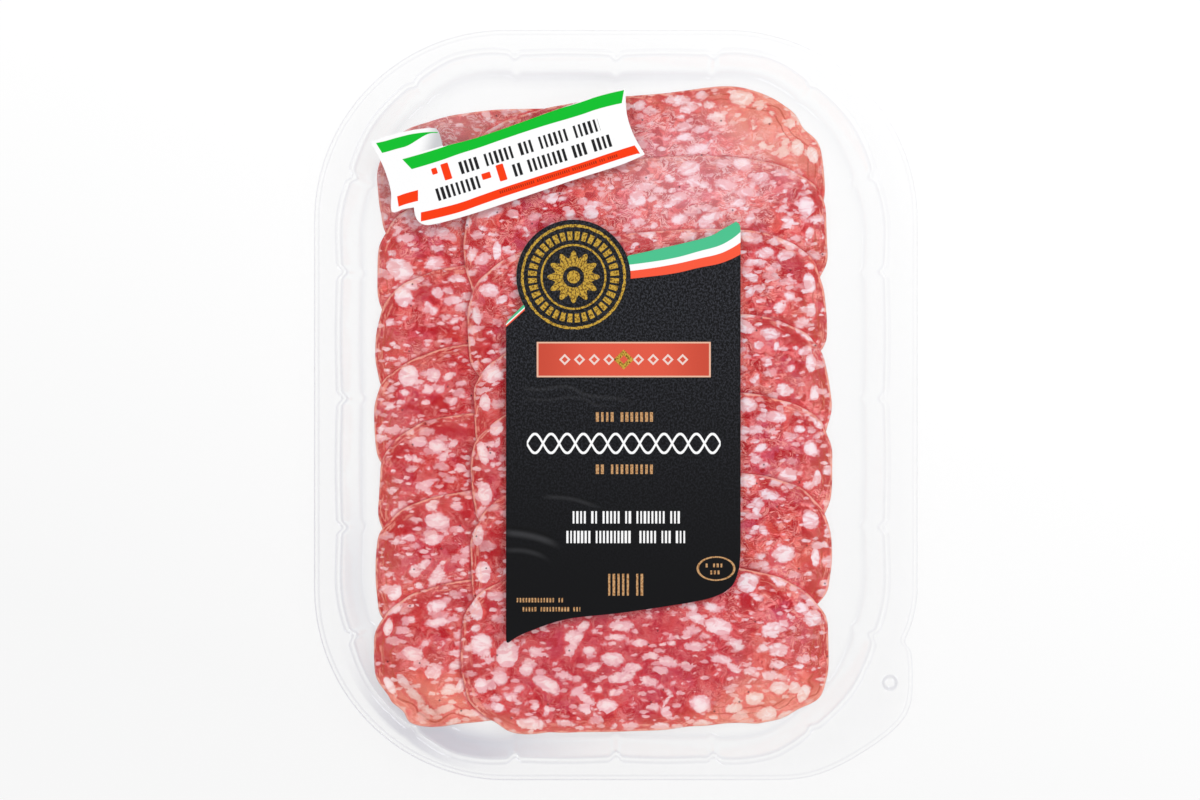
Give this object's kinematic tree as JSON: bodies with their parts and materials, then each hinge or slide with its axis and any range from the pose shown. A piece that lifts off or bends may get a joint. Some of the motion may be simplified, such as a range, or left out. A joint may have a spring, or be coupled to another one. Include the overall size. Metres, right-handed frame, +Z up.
{
  "type": "sliced salami pack",
  "caption": "Shallow clear plastic tray of shingled marbled salami slices under a clear lid film, with a dark sticker and a slanted white ribbon sticker",
  "frame": {"origin": "Middle of the bounding box of the pack's underside: the tray's floor rests on z = 0", "axes": "+Z is up, out of the lid film; +Y is the long way of the pack, towards the end with the ribbon sticker; +X is the short way, towards the side with the small peel corner"},
  "size_m": [0.1722, 0.214, 0.0105],
  "materials": {
    "clear_tray": "gloss",
    "clear_film": "gloss",
    "salami": "gloss",
    "dark_sticker": "satin",
    "ribbon_sticker": "satin"
  },
  "bodies": {
    "root": {"tray": "clear_tray", "lid_film": "clear_film", "salami_left_1": "salami", "salami_left_2": "salami", "salami_left_3": "salami", "salami_left_4": "salami", "salami_left_5": "salami", "salami_left_6": "salami", "salami_left_7": "salami", "salami_right_1": "salami", "salami_right_2": "salami", "salami_right_3": "salami", "salami_right_4": "salami", "salami_right_5": "salami", "salami_right_6": "salami", "salami_right_7": "salami", "label_main": "dark_sticker", "label_banner": "ribbon_sticker"}
  },
  "joints": []
}
